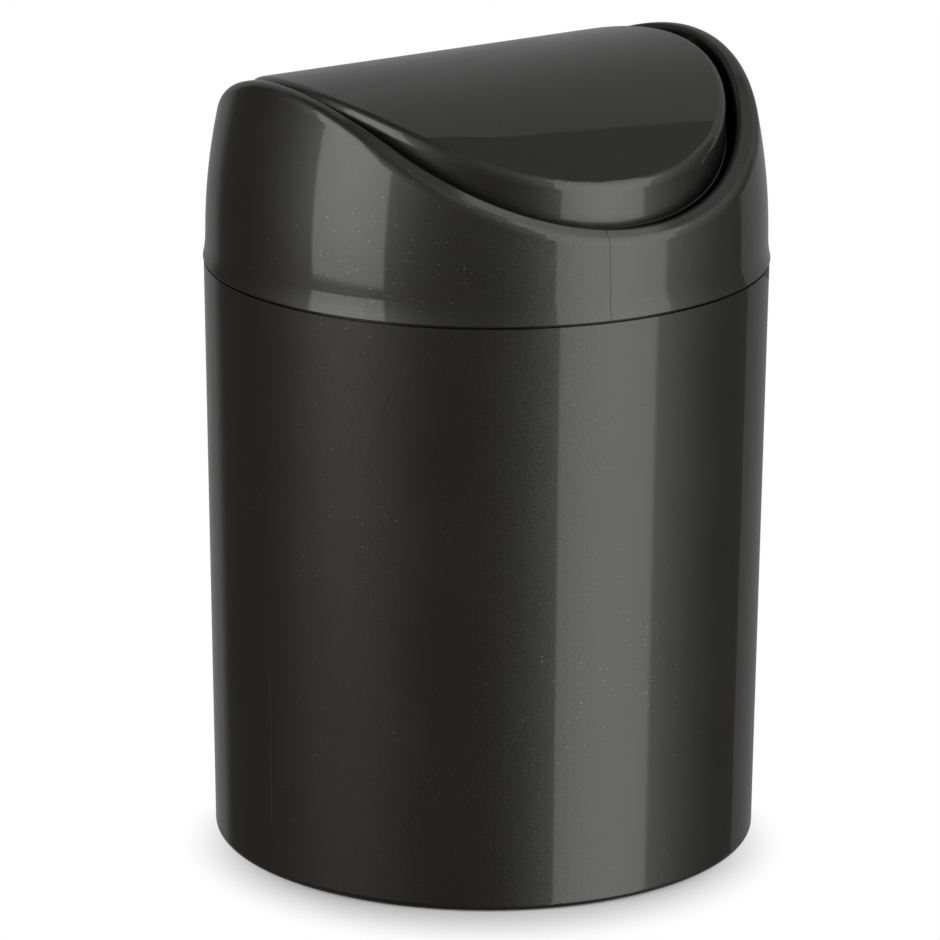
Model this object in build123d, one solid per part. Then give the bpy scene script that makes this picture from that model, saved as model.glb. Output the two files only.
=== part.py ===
from build123d import *
import math
import os

# Small countertop bin, three mouldings: bucket, domed lid and swinging flap.
# Millimetres, +Z up, origin at the centre of the base on the table top.
# The flap's pivot axis runs along X, between the two ears of the lid. The low sides of the rim
# face -Y (front) and +Y (back).

# Overall sizes
lid_edge_radius = 60.0          # widest point, the flared lower edge of the lid
seam_height = 126.0             # where the lid meets the bucket
lid_height = 43.4               # from the seam to the top of the ears, the tallest point

# Bucket
seam_overhang = 0.25            # lower edge of the lid past the bucket's wall
bucket_taper = 1.8              # how much narrower the base is than the top, on the radius
bucket_wall = 1.6
floor_thickness = 1.8
floor_recess = 1.0              # underside of the floor above the table, inside the foot ring
foot_ring_width = 4.0           # from the outside of the base
base_edge_round = 1.4
neck_height = 7.0               # above the seam, inside the lid
neck_wall = 1.5
neck_lead_in = 0.6              # chamfer that guides the lid on to the neck
ledge_round = 0.35

# Lid
lid_wall = 1.8
lid_to_neck_gap = 0.3
flare_spread = 0.6              # how far the lower edge flares out past the waist
waist_height = 5.0              # above the seam, where the flare ends and the dome starts
seam_groove_height = 0.4        # shadow groove between the lid's lower edge and the bucket
seam_groove_depth = 1.2
dome_lean_in = 5.6              # how far the dome has leant in at the top of the ears
lid_edge_round = 0.3
rim_outer_round = 2.3
rim_inner_round = 1.0

# Saddle rim: a rounded gable that runs along X
rim_crest_radius = 56.0
rim_flank_angle = 32.0
ear_rim_width = 3.5             # from the dome to the throat at the top of the ears
low_rim_width = 4.4             # from the waist to the throat on the low sides
throat_wall = 1.6
throat_depth = 6.0              # how far the throat wall hangs down under the rim

# Flap
flap_gap = 2.0                  # all round, between the flap and the throat
flap_crest_drop = 0.5           # crest of the flap under the crest of the ears
flap_crest_radius = 84.0
flap_flank_angle = 25.0
flap_top_wall = 1.6
flap_skirt_wall = 1.5
flap_skirt_height = 9.4         # from the gable of the top down to the lower edge
flap_edge_round = 2.2
skirt_lip_height = 0.6          # fine lip round the lower edge of the skirt
skirt_lip_depth = 0.25
flap_rib_wall = 1.3
flap_rib_depth = 3.4            # below the underside of the top
flap_cross_rib_place = 22.0     # along X, from the middle of the flap

# Pivot
pivot_drop = 5.4                # axis under the top of the ears
trunnion_radius = 2.5
trunnion_fit = 0.1              # radial running clearance in the socket
trunnion_end_gap = 0.3
shoulder_radius = 3.6           # collar on the trunnion that centres the flap between the ears
shoulder_gap = 0.3
socket_depth = 2.7              # from the throat into the ear
boss_radius = 5.5
cheek_radius = 4.1
cheek_wall = 2.6                # with the skirt's wall

os.makedirs("parts", exist_ok=True)

bucket_top_radius = lid_edge_radius - seam_overhang
bucket_base_radius = bucket_top_radius - bucket_taper
waist_radius = lid_edge_radius - flare_spread
neck_radius = waist_radius - lid_wall - lid_to_neck_gap

rim_crest_height = seam_height + lid_height
pivot_height = rim_crest_height - pivot_drop
dome_start = seam_height + waist_height
dome_height = lid_height - waist_height
groove_top = seam_height + seam_groove_height
flare_height = waist_height - seam_groove_height
# Both arcs are upright at the waist: the flare's reaches its full spread at the lower edge, and
# the dome's has leant in by its full amount at the top
flare_radius = (flare_height**2 + flare_spread**2) / (2 * flare_spread)
dome_radius = (dome_height**2 + dome_lean_in**2) / (2 * dome_lean_in)
throat_half_length = waist_radius - dome_lean_in - ear_rim_width
throat_half_width = waist_radius - low_rim_width

# Solids that are trimmed later are drawn this much past the widest and the tallest point
overshoot = 10.0
reach = lid_edge_radius + overshoot
sky = rim_crest_height + overshoot

rim_gable = (rim_crest_height, rim_crest_radius, rim_flank_angle)
flap_gable = (rim_crest_height - flap_crest_drop, flap_crest_radius, flap_flank_angle)


def dome_at(height, inset=0.0):
    """Radius of the dome at a height. inset is the depth under its outer surface."""
    centre = waist_radius - dome_radius
    return centre + math.sqrt((dome_radius - inset) ** 2 - (height - dome_start) ** 2)


def flare_at(height):
    """Radius of the flared lower edge at a height."""
    return waist_radius + flare_radius - math.sqrt(flare_radius**2 - (dome_start - height) ** 2)


def gable_height(y, crest, radius, flank_angle):
    """Height of a gable at a distance y from its crest line: an arc, then a tangent flank."""
    slope = math.radians(flank_angle)
    arc_end = radius * math.sin(slope)
    across = min(abs(y), arc_end)
    arc_drop = radius - math.sqrt(radius**2 - across**2)
    return crest - arc_drop - (abs(y) - across) * math.tan(slope)


def under_gable(crest, radius, flank_angle, inset):
    """Solid below a gable. inset lowers it square to its surface, as a wall thickness does."""
    shape = (crest - inset, radius - inset, flank_angle)
    arc_end = (radius - inset) * math.sin(math.radians(flank_angle))
    arc_low = gable_height(arc_end, *shape)
    flank_low = gable_height(reach, *shape)
    outline = ThreePointArc((-arc_end, arc_low), (0, crest - inset), (arc_end, arc_low))
    outline += Polyline(
        (arc_end, arc_low),
        (reach, flank_low),
        (reach, 0),
        (-reach, 0),
        (-reach, flank_low),
        (-arc_end, arc_low),
    )
    return extrude(Plane.YZ.offset(-reach) * make_face(outline), 2 * reach)


def under_rim(inset=0.0):
    return under_gable(*rim_gable, inset)


def under_flap_top(inset=0.0):
    return under_gable(*flap_gable, inset)


def under_skirt(above=0.0):
    """Solid below the skirt's lower edge, or below a line that is parallel to it and above it."""
    crest, radius, flank_angle = flap_gable
    return under_gable(crest - flap_skirt_height + above, radius, flank_angle, 0.0)


def oval_prism(inset=0.0):
    """Upright oval prism, inset from the throat and taller than the lid."""
    oval = Ellipse(throat_half_length - inset, throat_half_width - inset)
    return extrude(Plane.XY.offset(seam_height) * oval, sky - seam_height)


def pivot_rod(radius, start, end):
    """Round rod on the pivot axis, from start to end along X."""
    base = Plane(origin=(start, 0, pivot_height), x_dir=(0, 1, 0), z_dir=(1, 0, 0))
    return extrude(base * Circle(radius), end - start)


def pivot_tongue(radius, start, end):
    """Tongue that hangs from above the lid and is rounded about the pivot axis."""
    post = Box(end - start, 2 * radius, sky - pivot_height, align=(Align.MIN, Align.CENTER, Align.MIN))
    return pivot_rod(radius, start, end) + Pos(start, 0, pivot_height) * post


def on_both_ends(piece):
    return piece + mirror(piece, about=Plane.YZ)


def off_dome(point):
    """How far a point lies outside the dome."""
    return math.hypot(point.X, point.Y) - dome_at(point.Z)


def off_oval(inset):
    """Measures how far a point lies outside the oval prism, as a share of its size."""
    length = throat_half_length - inset
    width = throat_half_width - inset
    return lambda point: math.hypot(point.X / length, point.Y / width) - 1


def top_edges(part, off_outline, gable):
    """The edges where a gable meets an upright outline."""
    near = 0.002
    middles = [(edge, edge @ 0.5) for edge in part.edges()]
    return ShapeList(
        edge
        for edge, point in middles
        if abs(off_outline(point)) < near and abs(point.Z - gable_height(point.Y, *gable)) < near
    )


def bucket():
    """Turned section: foot ring, floor, tapered wall, ledge and neck."""
    neck_inside = neck_radius - neck_wall
    neck_top = seam_height + neck_height
    foot_inner = bucket_base_radius - foot_ring_width
    floor_top = floor_recess + floor_thickness
    wall_top = bucket_top_radius - bucket_wall
    ledge_low = seam_height - bucket_wall
    with BuildPart() as part:
        with BuildSketch(Plane.XZ):
            with BuildLine():
                Polyline(
                    (0, floor_recess),
                    (foot_inner - floor_recess, floor_recess),
                    (foot_inner, 0),
                    (bucket_base_radius, 0),
                    (bucket_top_radius, seam_height),
                    (neck_radius, seam_height),
                    (neck_radius, neck_top),
                    (neck_inside, neck_top),
                    (neck_inside, ledge_low),
                    (wall_top, ledge_low - (wall_top - neck_inside)),
                    (bucket_base_radius - bucket_wall, floor_top),
                    (0, floor_top),
                    close=True,
                )
            make_face()
            corners = vertices()
            fillet(corners.sort_by_distance((bucket_base_radius, 0))[0], base_edge_round)
            fillet(corners.sort_by_distance((bucket_top_radius, seam_height))[0], ledge_round)
            chamfer(corners.sort_by_distance((neck_radius, neck_top))[0], neck_lead_in)
        revolve(axis=Axis.Z)
    return part.part


def dome_solid(inset=0.0):
    """Everything inside the lid's turned outer surface, or inside its inner one at an inset."""
    low = dome_at(dome_start, inset)
    high = dome_at(sky, inset)
    middle = (dome_start + sky) / 2
    groove_bottom = lid_edge_radius - seam_groove_depth
    flare_middle = (groove_top + dome_start) / 2
    with BuildPart() as dome:
        with BuildSketch(Plane.XZ):
            with BuildLine():
                if inset:
                    Polyline((0, sky), (0, seam_height), (low, seam_height), (low, dome_start))
                else:
                    Polyline(
                        (0, sky),
                        (0, seam_height),
                        (groove_bottom, seam_height),
                        (groove_bottom, groove_top),
                        (lid_edge_radius, groove_top),
                    )
                    ThreePointArc(
                        (lid_edge_radius, groove_top),
                        (flare_at(flare_middle), flare_middle),
                        (low, dome_start),
                    )
                ThreePointArc((low, dome_start), (dome_at(middle, inset), middle), (high, sky))
                Line((high, sky), (0, sky))
            make_face()
            if not inset:
                fillet(vertices().sort_by_distance((lid_edge_radius, groove_top))[0], lid_edge_round)
        revolve(axis=Axis.Z)
    return dome.part


def lid():
    """Dome cut by the gable, rounded over into a throat wall, with a socket in each ear."""
    outside = dome_solid() & under_rim()
    outside = fillet(top_edges(outside, off_dome, rim_gable), rim_outer_round)
    hollow = dome_solid(lid_wall) & under_rim(lid_wall)
    shell = outside - hollow
    throat_ring = (oval_prism(-throat_wall) & outside) - under_rim(throat_depth)
    ears = on_both_ends(pivot_tongue(boss_radius, throat_half_length - boss_radius, reach)) & outside
    body = shell + throat_ring + ears - oval_prism()
    sockets = on_both_ends(
        pivot_rod(trunnion_radius + trunnion_fit, 0, throat_half_length + socket_depth)
    )
    body = fillet(top_edges(body, off_oval(0.0), rim_gable), rim_inner_round)
    return body - sockets


def flap_shell():
    """Vaulted top with a skirt of even height and the fine lip round the skirt's lower edge."""
    outside = (oval_prism(flap_gap) - under_skirt()) & under_flap_top()
    outside = fillet(top_edges(outside, off_oval(flap_gap), flap_gable), flap_edge_round)
    hollow = oval_prism(flap_gap + flap_skirt_wall) & under_flap_top(flap_top_wall)
    ring = oval_prism(flap_gap - skirt_lip_depth) - oval_prism(flap_gap + flap_skirt_wall / 2)
    lip = (ring & under_skirt(skirt_lip_height)) - under_skirt()
    return outside - hollow + lip


def flap_core():
    """Solid that ends half way through the flap's walls, which trims what is joined to them."""
    return oval_prism(flap_gap + flap_skirt_wall / 2) & under_flap_top(flap_top_wall / 2)


def flap_ribs():
    """One rib along the pivot axis and two across it, under the flap's top."""
    long_rib = Box(2 * reach, flap_rib_wall, 2 * sky)
    cross_rib = Box(flap_rib_wall, 2 * reach, 2 * sky)
    bars = long_rib + Pos(flap_cross_rib_place) * cross_rib + Pos(-flap_cross_rib_place) * cross_rib
    return (bars & flap_core()) - under_flap_top(flap_top_wall + flap_rib_depth)


def swing_flap():
    """Flap shell with ribs, an end cheek under each end of the crest, and the trunnions."""
    end = throat_half_length - flap_gap
    cheek = pivot_tongue(cheek_radius, end - cheek_wall, end) & flap_core()
    shoulder = pivot_rod(shoulder_radius, end - cheek_wall, throat_half_length - shoulder_gap)
    trunnion_end = throat_half_length + socket_depth - trunnion_end_gap
    trunnion = pivot_rod(trunnion_radius, end - cheek_wall, trunnion_end)
    return flap_shell() + flap_ribs() + on_both_ends(cheek + shoulder + trunnion)


export_step(bucket(), "parts/bucket.step")
export_step(lid(), "parts/lid.step")
export_step(swing_flap(), "parts/swing_flap.step")
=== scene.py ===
import math

import bpy
import numpy as np
from mathutils import Matrix

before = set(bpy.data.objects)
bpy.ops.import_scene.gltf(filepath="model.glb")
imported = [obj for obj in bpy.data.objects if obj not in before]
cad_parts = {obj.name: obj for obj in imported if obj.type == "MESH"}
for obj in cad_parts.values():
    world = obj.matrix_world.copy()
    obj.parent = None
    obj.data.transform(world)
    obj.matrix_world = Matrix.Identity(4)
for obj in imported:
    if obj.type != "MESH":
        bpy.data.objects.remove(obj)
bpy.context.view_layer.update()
print("bin: the packed model is in place")

# The camera stands in front of the -Y side, turned towards the -X side, and looks slightly down.
# Angles are in degrees, the lens and its sensor in millimetres, and the rest in metres.
cameraPlace = {
    "turn": -34.5,  # round the bin: 0 looks along +Y
    "distance": 1.300,  # from the bin's axis
    "height": 0.4623,
    "pitch": 16.434,  # down from level
    "yaw": -0.145,
    "roll": 0.27,
    "lens": 243.27,
    "sensor": 36.0,
    "nearest": 0.05,
    "farthest": 50.0,
}


# A place round the bin. side is in degrees to the right of the camera's direction, seen from the bin:
# x = distance * sin(side + turn), y = -distance * cos(side + turn)
def fromCamera(side, distance, height):
    angle = np.radians(side + cameraPlace["turn"])
    return distance * np.sin(angle), -distance * np.cos(angle), height


# It faces the bin's axis, then turns by yaw to the right, tips down by pitch and rolls about its own view.
def makeCamera(values):
    data = bpy.data.cameras.new("camera")
    data.lens = values["lens"]
    data.sensor_width = values["sensor"]
    data.clip_start = values["nearest"]
    data.clip_end = values["farthest"]
    eye = bpy.data.objects.new("camera", data)
    bpy.context.scene.collection.objects.link(eye)
    eye.matrix_world = (
        Matrix.Translation(fromCamera(0.0, values["distance"], values["height"]))
        @ Matrix.Rotation(math.radians(values["turn"] - values["yaw"]), 4, "Z")
        @ Matrix.Rotation(math.radians(90.0 - values["pitch"]), 4, "X")
        @ Matrix.Rotation(math.radians(values["roll"]), 4, "Z")
    )
    bpy.context.scene.camera = eye


makeCamera(cameraPlace)
print("bin: camera")

white = (1.0, 1.0, 1.0, 1.0)


def addNode(tree, kind, **settings):
    node = tree.nodes.new(kind)
    for name, value in settings.items():
        setattr(node, name, value)
    return node


def join(tree, source, target):
    tree.links.new(source, target)


# A socket takes either another node's output or a plain value.
def feed(tree, value, socket):
    if isinstance(value, bpy.types.NodeSocket):
        join(tree, value, socket)
    else:
        socket.default_value = value


def setInputs(node, values):
    for name, value in values.items():
        node.inputs[name].default_value = value


def mathNode(tree, operation, first, second=0.0):
    node = addNode(tree, "ShaderNodeMath", operation=operation)
    feed(tree, first, node.inputs[0])
    feed(tree, second, node.inputs[1])
    return node.outputs[0]


def vectorNode(tree, operation, first, second=None):
    node = addNode(tree, "ShaderNodeVectorMath", operation=operation)
    feed(tree, first, node.inputs[0])
    if second is not None:
        feed(tree, second, node.inputs["Scale" if operation == "SCALE" else 1])
    return node.outputs["Value" if operation == "LENGTH" else "Vector"]


# 0 below low, 1 above high, with an eased slope between
def smoothStep(tree, value, low, high):
    node = addNode(tree, "ShaderNodeMapRange", interpolation_type="SMOOTHSTEP")
    join(tree, value, node.inputs["Value"])
    feed(tree, low, node.inputs["From Min"])
    feed(tree, high, node.inputs["From Max"])
    return node.outputs["Result"]


def blendColour(tree, amount, base, top):
    node = addNode(tree, "ShaderNodeMix", data_type="RGBA")
    join(tree, amount, node.inputs["Factor"])
    join(tree, base, node.inputs["A"])
    node.inputs["B"].default_value = top
    return node.outputs["Result"]


def blendShader(tree, amount, base, top):
    node = addNode(tree, "ShaderNodeMixShader")
    join(tree, amount, node.inputs[0])
    join(tree, base, node.inputs[1])
    join(tree, top, node.inputs[2])
    return node.outputs[0]


# place in metres, where the piece stands
def objectPlace(tree):
    return addNode(tree, "ShaderNodeTexCoord").outputs["Object"]


# small cells, size metres across: a random colour for each, and the distance from its middle
def cells(tree, place, size):
    node = addNode(tree, "ShaderNodeTexVoronoi", feature="F1")
    join(tree, place, node.inputs["Vector"])
    join(tree, mathNode(tree, "DIVIDE", 1.0, size), node.inputs["Scale"])
    return node.outputs["Color"], node.outputs["Distance"]


def channels(tree, colour):
    node = addNode(tree, "ShaderNodeSeparateColor")
    join(tree, colour, node.inputs[0])
    return node.outputs


def slowNoise(tree, place, scale, detail):
    node = addNode(tree, "ShaderNodeTexNoise")
    join(tree, place, node.inputs["Vector"])
    setInputs(node, {"Scale": scale, "Detail": detail})
    return node.outputs[0]


def newGroup(name, inputs, outputs):
    group = bpy.data.node_groups.new(name, "ShaderNodeTree")
    for label, kind, value in inputs:
        group.interface.new_socket(label, in_out="INPUT", socket_type=kind).default_value = value
    for label, kind in outputs:
        group.interface.new_socket(label, in_out="OUTPUT", socket_type=kind)
    return group, group.nodes.new("NodeGroupInput").outputs, group.nodes.new("NodeGroupOutput").inputs


pearlValues = {
    "meanCube": 0.25,  # mean of the cube of a random number, so that the flakes keep the mean brightness
    "cloudScale": 45.0,
    "cloudDetail": 4.0,
}


# Pearl in the plastic: every small cell has its own brightness and its own small tilt.
# brightness = 1 + contrast * (random^3 - mean of random^3) + clouding * (slow noise - 0.5)
# normal = surface normal + tilt * (random colour - 0.5), made unit length
def makePearlFlake():
    group, given, result = newGroup(
        "pearlFlake",
        [
            ("Colour", "NodeSocketColor", (0.06, 0.055, 0.05, 1.0)),
            ("Flake Size", "NodeSocketFloat", 0.0002),
            ("Flake Contrast", "NodeSocketFloat", 0.5),
            ("Flake Tilt", "NodeSocketFloat", 0.2),
            ("Clouding", "NodeSocketFloat", 0.1),
        ],
        [("Colour", "NodeSocketColor"), ("Normal", "NodeSocketVector"), ("Clouds", "NodeSocketFloat")],
    )
    place = objectPlace(group)
    flake = cells(group, place, given["Flake Size"])[0]
    cube = mathNode(group, "POWER", channels(group, flake)[0], 3.0)
    spread = mathNode(group, "SUBTRACT", cube, pearlValues["meanCube"])
    sparkle = mathNode(group, "MULTIPLY", spread, given["Flake Contrast"])
    clouds = slowNoise(group, place, pearlValues["cloudScale"], pearlValues["cloudDetail"])
    clouding = mathNode(group, "MULTIPLY", mathNode(group, "SUBTRACT", clouds, 0.5), given["Clouding"])
    brightness = mathNode(group, "ADD", mathNode(group, "ADD", sparkle, clouding), 1.0)
    lean = vectorNode(group, "SUBTRACT", flake, (0.5, 0.5, 0.5))
    tilt = vectorNode(group, "SCALE", lean, given["Flake Tilt"])
    surface = addNode(group, "ShaderNodeNewGeometry").outputs["Normal"]
    normal = vectorNode(group, "NORMALIZE", vectorNode(group, "ADD", surface, tilt))
    join(group, vectorNode(group, "SCALE", given["Colour"], brightness), result["Colour"])
    join(group, normal, result["Normal"])
    join(group, clouds, result["Clouds"])
    return group


dustValues = {
    "areaScale": 30.0,
    "areaDetail": 2.0,
    "cleanBelow": 0.4,  # of the slow noise
    "dustyAbove": 0.7,
    "leastSize": 0.3,
}


# Dust and nicks: a cell has a speck when its random value passes 1 - share, and the speck fills it out to
# radius. share = Share * (0 to 1 with a slow noise) + Patch Share * (1 at Patch Place, 0 past Patch Reach),
# radius = Speck Size * (another random value + least size)
def makeFineDust():
    group, given, result = newGroup(
        "fineDust",
        [
            ("Spacing", "NodeSocketFloat", 0.0009),
            ("Speck Size", "NodeSocketFloat", 0.07),
            ("Share", "NodeSocketFloat", 0.1),
            ("Patch Share", "NodeSocketFloat", 0.5),
            ("Patch Place", "NodeSocketVector", (0.0, 0.0, 0.0)),
            ("Patch Reach", "NodeSocketFloat", 0.01),
        ],
        [("Mask", "NodeSocketFloat")],
    )
    place = objectPlace(group)
    cell, middle = cells(group, place, given["Spacing"])
    random = channels(group, cell)
    slow = slowNoise(group, place, dustValues["areaScale"], dustValues["areaDetail"])
    areas = smoothStep(group, slow, dustValues["cleanBelow"], dustValues["dustyAbove"])
    thinly = mathNode(group, "MULTIPLY", areas, given["Share"])
    away = vectorNode(group, "LENGTH", vectorNode(group, "SUBTRACT", place, given["Patch Place"]))
    nearness = mathNode(group, "SUBTRACT", 1.0, smoothStep(group, away, 0.0, given["Patch Reach"]))
    thickly = mathNode(group, "MULTIPLY", nearness, given["Patch Share"])
    least = mathNode(group, "SUBTRACT", 1.0, mathNode(group, "ADD", thinly, thickly))
    chosen = mathNode(group, "GREATER_THAN", random[1], least)
    size = mathNode(group, "ADD", random[2], dustValues["leastSize"])
    radius = mathNode(group, "MULTIPLY", given["Speck Size"], size)
    speck = mathNode(group, "LESS_THAN", middle, radius)
    join(group, mathNode(group, "MULTIPLY", chosen, speck), result["Mask"])
    return group


# The mould's witness lines and a band of painted shade on the lid's rim are both drawn with this mask.
# An upright line: 1 on the half plane at Angle from +X, falling to 0 at Width from it.
# across = y cos(angle) - x sin(angle), along = x cos(angle) + y sin(angle),
# mask = 1 - eased(|across| / Width) where along > 0 and Low < z < High, else 0
def makeMouldLineAndShade():
    group, given, result = newGroup(
        "mouldLineAndShade",
        [
            ("Angle", "NodeSocketFloat", 0.0),
            ("Width", "NodeSocketFloat", 0.0002),
            ("Low", "NodeSocketFloat", 0.0),
            ("High", "NodeSocketFloat", 1.0),
        ],
        [("Mask", "NodeSocketFloat")],
    )
    axes = addNode(group, "ShaderNodeSeparateXYZ")
    join(group, objectPlace(group), axes.inputs[0])
    x, y, z = axes.outputs
    sine = mathNode(group, "SINE", given["Angle"])
    cosine = mathNode(group, "COSINE", given["Angle"])
    xSine, xCosine = [mathNode(group, "MULTIPLY", x, factor) for factor in (sine, cosine)]
    ySine, yCosine = [mathNode(group, "MULTIPLY", y, factor) for factor in (sine, cosine)]
    across = mathNode(group, "ABSOLUTE", mathNode(group, "SUBTRACT", yCosine, xSine))
    along = mathNode(group, "ADD", xCosine, ySine)
    mask = mathNode(group, "SUBTRACT", 1.0, smoothStep(group, across, 0.0, given["Width"]))
    ahead = mathNode(group, "GREATER_THAN", along, 0.0)
    above = mathNode(group, "GREATER_THAN", z, given["Low"])
    below = mathNode(group, "LESS_THAN", z, given["High"])
    for limit in (ahead, above, below):
        mask = mathNode(group, "MULTIPLY", mask, limit)
    join(group, mask, result["Mask"])
    return group


pearlFlake = makePearlFlake()
fineDust = makeFineDust()
mouldLineAndShade = makeMouldLineAndShade()
print("bin: shared surface effects")

# Dark pearl plastic under a clear gloss. Each moulding has its own values, with lengths in metres, but
# dustSize is a share of the dust's spacing. A line is (angle from +X in degrees, width, low, high, colour).
bucketPlastic = {
    "colour": (0.0600, 0.0596, 0.0560, 1.0),
    "roughness": 0.44,
    "gloss": 0.5,
    "glossRoughness": 0.03,
    "flakeSize": 0.00014,
    "flakeContrast": 0.18,
    "flakeTilt": 0.08,
    "clouding": 0.10,
    "dustSize": 0.10,
    "dustShare": 0.26,
    "patchShare": 0.25,
    "patchPlace": (0.005, -0.058, 0.045),
    "patchReach": 0.05,
    "lines": [(185.3, 0.00025, 0.012, 0.045, (0.11, 0.10, 0.09, 1.0))],
}
lidPlastic = {
    "colour": (0.0645, 0.0649, 0.0615, 1.0),
    "roughness": 0.44,
    "gloss": 0.5,
    "glossRoughness": 0.03,
    "flakeSize": 0.00014,
    "flakeContrast": 0.18,
    "flakeTilt": 0.08,
    "clouding": 0.12,
    "dustSize": 0.11,
    "dustShare": 0.26,
    "patchShare": 1.0,
    "patchPlace": (-0.0457, -0.0374, 0.139),
    "patchReach": 0.026,
    "lines": [
        (260.6, 0.00018, 0.120, 0.1475, (0.022, 0.021, 0.020, 1.0)),
        # painted shade: a nearly black band across the rim's roll, where the rim's highlight has a notch
        (260.8, 0.00055, 0.1442, 0.1475, (0.012, 0.012, 0.012, 1.0)),
    ],
}
flapPlastic = {
    "colour": (0.0645, 0.0649, 0.0615, 1.0),
    "roughness": 0.42,
    "gloss": 0.5,
    "glossRoughness": 0.012,
    "flakeSize": 0.00014,
    "flakeContrast": 0.14,
    "flakeTilt": 0.06,
    "clouding": 0.08,
    "dustSize": 0.08,
    "dustShare": 0.08,
    "patchShare": 0.3,
    "patchPlace": (0.004, -0.002, 0.168),
    "patchReach": 0.012,
    "lines": [],
}
dustColour = (0.30, 0.30, 0.28, 1.0)
pearlEdge = (0.6, 0.6, 0.6, 1.0)  # how much of the pearl shows at a glancing angle
glossIor = 1.5
roughnessSpread = 0.04  # either way, with the clouds


# the material's or the world's empty tree, and the socket that its surface goes into
def emptyTree(owner, outputKind):
    owner.use_nodes = True
    tree = owner.node_tree
    tree.nodes.clear()
    return tree, addNode(tree, outputKind).inputs["Surface"]


# The colour is the pearl's, then the lines over it (the mould's witness lines, and painted shade on the
# lid's rim), then dust on top.
# roughness = its own value + spread * (2 * clouds - 1)
def makePlastic(name, values):
    material = bpy.data.materials.new(name)
    tree, surface = emptyTree(material, "ShaderNodeOutputMaterial")
    shader = addNode(tree, "ShaderNodeBsdfPrincipled")
    join(tree, shader.outputs[0], surface)
    shader.inputs["Metallic"].default_value = 1.0
    shader.inputs["Specular Tint"].default_value = pearlEdge
    shader.inputs["Coat Weight"].default_value = values["gloss"]
    shader.inputs["Coat Roughness"].default_value = values["glossRoughness"]
    shader.inputs["Coat IOR"].default_value = glossIor
    flake = addNode(tree, "ShaderNodeGroup", node_tree=pearlFlake)
    flakeInputs = {
        "Colour": values["colour"],
        "Flake Size": values["flakeSize"],
        "Flake Contrast": values["flakeContrast"],
        "Flake Tilt": values["flakeTilt"],
        "Clouding": values["clouding"],
    }
    setInputs(flake, flakeInputs)
    colour = flake.outputs["Colour"]
    for angle, width, low, high, lineColour in values["lines"]:
        line = addNode(tree, "ShaderNodeGroup", node_tree=mouldLineAndShade)
        setInputs(line, {"Angle": math.radians(angle), "Width": width, "Low": low, "High": high})
        colour = blendColour(tree, line.outputs["Mask"], colour, lineColour)
    dust = addNode(tree, "ShaderNodeGroup", node_tree=fineDust)
    dustInputs = {
        "Speck Size": values["dustSize"],
        "Share": values["dustShare"],
        "Patch Share": values["patchShare"],
        "Patch Place": values["patchPlace"],
        "Patch Reach": values["patchReach"],
    }
    setInputs(dust, dustInputs)
    join(tree, blendColour(tree, dust.outputs["Mask"], colour, dustColour), shader.inputs["Base Color"])
    join(tree, flake.outputs["Normal"], shader.inputs["Normal"])
    rough = addNode(tree, "ShaderNodeMapRange")
    join(tree, flake.outputs["Clouds"], rough.inputs["Value"])
    rough.inputs["To Min"].default_value = values["roughness"] - roughnessSpread
    rough.inputs["To Max"].default_value = values["roughness"] + roughnessSpread
    join(tree, rough.outputs["Result"], shader.inputs["Roughness"])
    return material


finishes = {
    "bucket": makePlastic("bucketPlastic", bucketPlastic),
    "lid": makePlastic("lidPlastic", lidPlastic),
    "swing_flap": makePlastic("flapPlastic", flapPlastic),
}
for nodeName, finish in finishes.items():
    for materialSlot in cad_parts[nodeName].material_slots:
        materialSlot.material = finish
print("bin: plastics")

# The light comes from soft panels on a sphere round the bin, in a dim surround. Where a panel fades, it
# fades to the surround.
studio = {
    "distance": 1.5,  # radius of the sphere
    "eyeHeight": 0.13,  # of the sphere's middle
    "sky": 0.095,  # brightness of the surround
    "skyColour": (1.06, 0.99, 0.95, 1.0),
}
# rows: (elevation, side from, side to) in degrees, seen from the bin
# soft: how far in from each edge the light fades, left, right, low and top
# topLift: (side, degrees by which the top edge is raised there)
# trail: how faint a rest of the light runs on past the right edge, how far, and the side where it stops
#     at the latest
# plainPanel has what goes for a panel that doesn't say otherwise.
plainPanel = {
    "colour": white,
    "topLift": [(0, 0)],
    "trail": (0.0, 0.0, 0.0),
}
panels = {
    "rightPanel": {
        "level": 2.3,
        "rows": [
            (-42, 28.8, 73.5),
            (-16, 28.8, 73.5),
            (-13.5, 26.5, 77),
            (-11, 27, 77.5),
            (8, 27, 79),
            (28, 32, 85),
            (44, 41, 100),
            (53.4, 50, 113),
            (55, 52, 140),
            (57.4, 55, 140),
            (58, 56, 126),
            (61, 60, 124),
            (66, 66, 113),
        ],
        "soft": (0.4, 3.0, 4.0, 2.0),
        "trail": (0.10, 45.0, 124.0),
    },
    "leftPanel": {
        "level": 3.0,
        "rows": [(-12.1, -74.2, -40), (12, -74.2, -38), (40, -78, -36), (64, -100, -36)],
        "soft": (2.0, 2.0, 0.9, 3.0),
    },
    "leftBench": {
        "level": 0.11,
        "colour": (1.16, 0.98, 0.86, 1.0),
        "rows": [(-60, -135, -22), (-12.7, -135, -22)],
        "soft": (20.0, 15.0, 10.0, 0.0),
    },
    "backLeft": {
        "level": 0.42,
        "rows": [(-60, -180, -134.5), (48.0, -180, -134.5)],
        "soft": (0.0, 12.0, 4.0, 0.4),
    },
    "backRight": {
        "level": 0.46,
        "rows": [(-15, 124, 180), (47.96, 124, 180)],
        "soft": (1.0, 0.0, 0.5, 0.02),
        "topLift": [
            (124, 0),
            (150.6, 0.5),
            (151.25, 0.98),
            (153.25, 2.53),
            (153.8, 2.9),
            (157, 2.55),
            (160.3, 1.3),
            (165, 0),
        ],
    },
    "backRightLow": {
        "level": 0.34,
        "rows": [(-60, 131, 180), (-15, 131, 180)],
        "soft": (1.0, 0.0, 4.0, 0.0),
    },
}
# how finely a panel is divided, besides at the corners of its outline
panelGrid = {"up": 33, "across": 121, "edge": 5}


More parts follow.
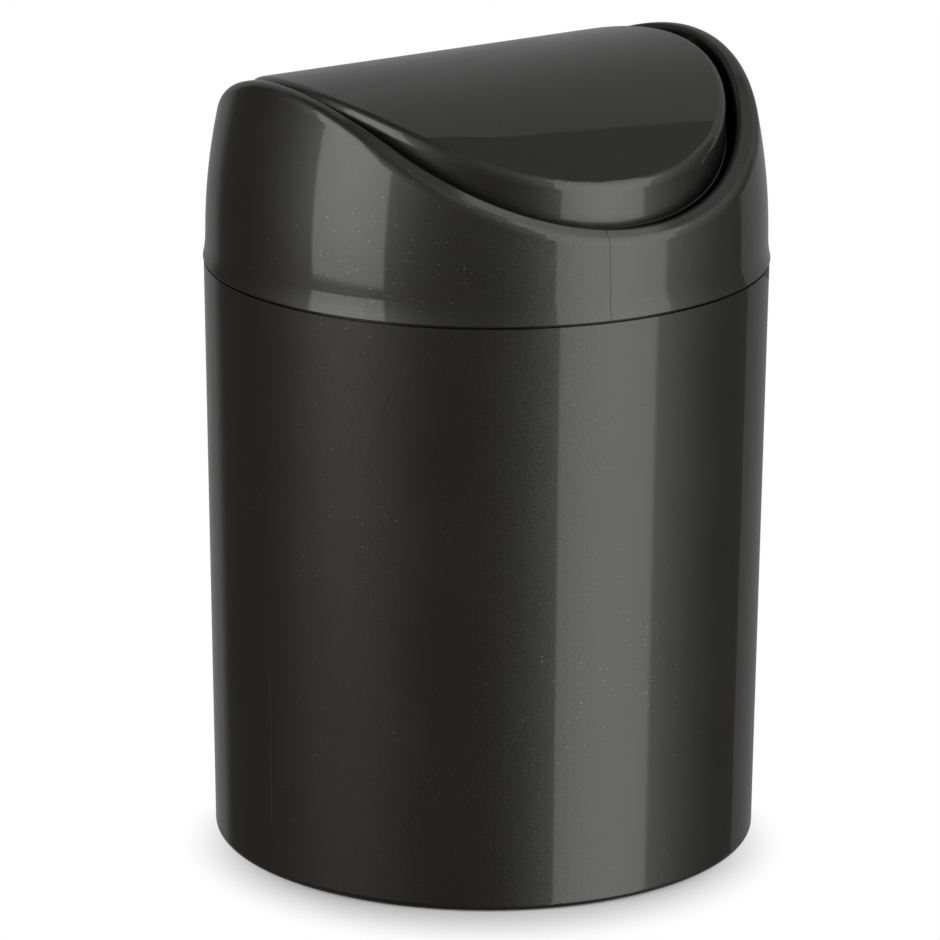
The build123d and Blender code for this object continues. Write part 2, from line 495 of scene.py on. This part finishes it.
# light of one colour, as strong as the mesh's own brightness attribute says
def makeGlow(name, colour):
    material = bpy.data.materials.new(name)
    tree, surface = emptyTree(material, "ShaderNodeOutputMaterial")
    light = addNode(tree, "ShaderNodeEmission")
    light.inputs["Color"].default_value = colour
    level = addNode(tree, "ShaderNodeAttribute", attribute_name="brightness")
    join(tree, level.outputs["Fac"], light.inputs["Strength"])
    join(tree, light.outputs[0], surface)
    return material


# Eased from 0 at an edge to 1 at width inside it, and 1 everywhere where width is zero:
# t = inside / width, kept between 0 and 1, and the result is t^2 * (3 - 2 t)
def softEdge(inside, width):
    t = np.clip(inside / np.maximum(width, 1e-6), 0.0, 1.0)
    return np.where(width > 0.0, t * t * (3.0 - 2.0 * t), 1.0)


# A patch of a sphere round the bin: elevation e runs up the rows, side s runs across between the row's ends.
# place = (distance cos(e) at side s, eyeHeight + distance sin(e)), brightness = sky + (level - sky) * fade,
# fade = left edge * (right edge * (1 - trail's share) + trail) * low edge * top edge
def panelSurface(values):
    rows = np.array(values["rows"], dtype=float)
    lowest, highest = rows[0, 0], rows[-1, 0]
    left, right, low, top = values["soft"]
    share, trail, stop = values["trail"]
    lift = np.array(values["topLift"], dtype=float)
    ramp = np.linspace(0.0, 1.0, panelGrid["edge"])
    even = np.linspace(lowest, highest, panelGrid["up"])
    steps = np.concatenate([even, rows[:, 0], lowest + low * ramp, highest - top * ramp])
    elevation = np.unique(np.round(steps, 4))[:, None]  # rounded, so that rows that fall together become one
    first = np.interp(elevation, rows[:, 0], rows[:, 1])
    last = np.interp(elevation, rows[:, 0], rows[:, 2])
    end = np.maximum(last, np.minimum(last + trail, stop))
    corners = np.clip((lift[:, 0] - rows[0, 1]) / (rows[0, 2] - rows[0, 1]), 0.0, 1.0)
    columns = np.unique(np.concatenate([np.linspace(0.0, 1.0, panelGrid["across"]), corners]))[None, :]
    side = first + (end - first) * columns
    rise = (elevation - lowest) / (highest - lowest)
    up = np.radians(elevation + np.interp(side, lift[:, 0], lift[:, 1]) * rise)
    x, y, z = fromCamera(side, studio["distance"] * np.cos(up), studio["distance"] * np.sin(up))
    places = np.stack([x, y, studio["eyeHeight"] + z], axis=-1)
    rest = np.where(end > last, share, 0.0) * softEdge(end - side, end - last)
    fade = softEdge(side - first, left) * (softEdge(last - side, right) * (1.0 - share) + rest)
    fade = fade * softEdge(elevation - lowest, low) * softEdge(highest - elevation, top)
    return places, studio["sky"] + (values["level"] - studio["sky"]) * fade


def makePanel(name, values):
    places, level = panelSurface(values)
    count, across = level.shape
    corner = (np.arange(count - 1)[:, None] * across + np.arange(across - 1)[None, :]).reshape(-1)
    faces = np.stack([corner, corner + 1, corner + across + 1, corner + across], axis=-1)
    mesh = bpy.data.meshes.new(name)
    mesh.from_pydata(places.reshape(-1, 3).tolist(), [], faces.tolist())
    brightness = mesh.attributes.new("brightness", "FLOAT", "POINT")
    brightness.data.foreach_set("value", level.astype(np.float32).reshape(-1))
    mesh.materials.append(makeGlow(name, values["colour"]))
    mesh.update()
    panel = bpy.data.objects.new(name, mesh)
    bpy.context.scene.collection.objects.link(panel)
    panel.visible_camera = False
    panel.visible_shadow = False


for panelName, panelValues in panels.items():
    makePanel(panelName, {**plainPanel, **panelValues})

# The floor takes the bin's shadow close round its foot, partly real and partly painted shadow, and runs out
# to plain white.
# The painted part is the fade's circle, shifted to the front, inside which the dimly lit paper shows.
floorValues = {
    "colour": 0.80,
    "half": 4.0,  # of the floor's width
    "paintedShadowForward": 0.014,  # the fade is centred this far towards the front
    "fadeStart": 0.042,
    "fadeEnd": 0.066,
}


# fade = 0 within fadeStart of the painted shadow's middle and 1 past fadeEnd, where the camera sees plain
# white
def makeFloor(values):
    material = bpy.data.materials.new("floor")
    tree, surface = emptyTree(material, "ShaderNodeOutputMaterial")
    paper = addNode(tree, "ShaderNodeBsdfDiffuse")
    paper.inputs["Color"].default_value = (values["colour"], values["colour"], values["colour"], 1.0)
    middle = fromCamera(0.0, values["paintedShadowForward"], 0.0)
    away = vectorNode(tree, "LENGTH", vectorNode(tree, "SUBTRACT", objectPlace(tree), middle))
    fade = smoothStep(tree, away, values["fadeStart"], values["fadeEnd"])
    seen = addNode(tree, "ShaderNodeLightPath").outputs["Is Camera Ray"]
    plain = mathNode(tree, "MULTIPLY", fade, seen)
    light = addNode(tree, "ShaderNodeEmission")
    join(tree, blendShader(tree, plain, paper.outputs[0], light.outputs[0]), surface)
    half = values["half"]
    corners = [(-half, -half, 0), (half, -half, 0), (half, half, 0), (-half, half, 0)]
    mesh = bpy.data.meshes.new("floor")
    mesh.from_pydata(corners, [], [(0, 1, 2, 3)])
    mesh.materials.append(material)
    floor = bpy.data.objects.new("floor", mesh)
    bpy.context.scene.collection.objects.link(floor)
    floor.visible_glossy = False
    floor.visible_shadow = False


makeFloor(floorValues)


# a dim even surround for the light, and plain white behind the bin for the camera
def makeWorld(level, colour):
    world = bpy.data.worlds.new("studio")
    bpy.context.scene.world = world
    tree, surface = emptyTree(world, "ShaderNodeOutputWorld")
    dim = addNode(tree, "ShaderNodeBackground")
    setInputs(dim, {"Color": colour, "Strength": level})
    backdrop = addNode(tree, "ShaderNodeBackground")
    backdrop.inputs["Color"].default_value = white
    seen = addNode(tree, "ShaderNodeLightPath").outputs["Is Camera Ray"]
    join(tree, blendShader(tree, seen, dim.outputs[0], backdrop.outputs[0]), surface)


makeWorld(studio["sky"], studio["skyColour"])
bpy.context.scene.view_settings.view_transform = "Standard"
print("bin: studio")

print("bin: ready")
